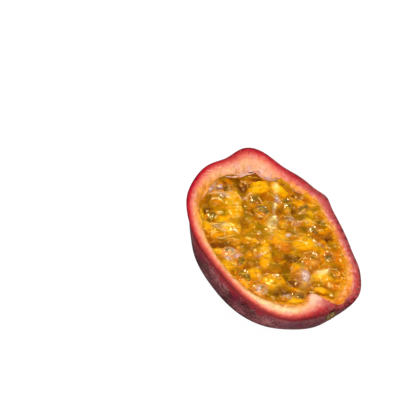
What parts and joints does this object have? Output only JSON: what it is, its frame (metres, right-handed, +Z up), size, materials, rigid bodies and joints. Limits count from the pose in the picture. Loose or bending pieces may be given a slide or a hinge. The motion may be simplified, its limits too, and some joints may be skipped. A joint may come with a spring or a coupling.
{
  "type": "passion fruit half",
  "caption": "Half a purple passion fruit cut lengthwise: a thick rind cup full of juicy orange-yellow pulp with dark seeds, and the stub of its stalk at one end.",
  "frame": {"origin": "centre of the small flat spot under the rind that the half rests on", "axes": "+X along the fruit's length towards the stalk end, +Z up out of the cut face"},
  "size_m": [0.065, 0.0527, 0.0272],
  "materials": {
    "rind": "smooth waxy skin with fine pale specks, moist cream and pink pith at the cut",
    "pulp": "wet translucent juice sacs",
    "stalk": "dry and woody"
  },
  "bodies": {
    "root": {"rind": "rind", "pulp": "pulp", "stalk": "stalk"}
  },
  "joints": []
}
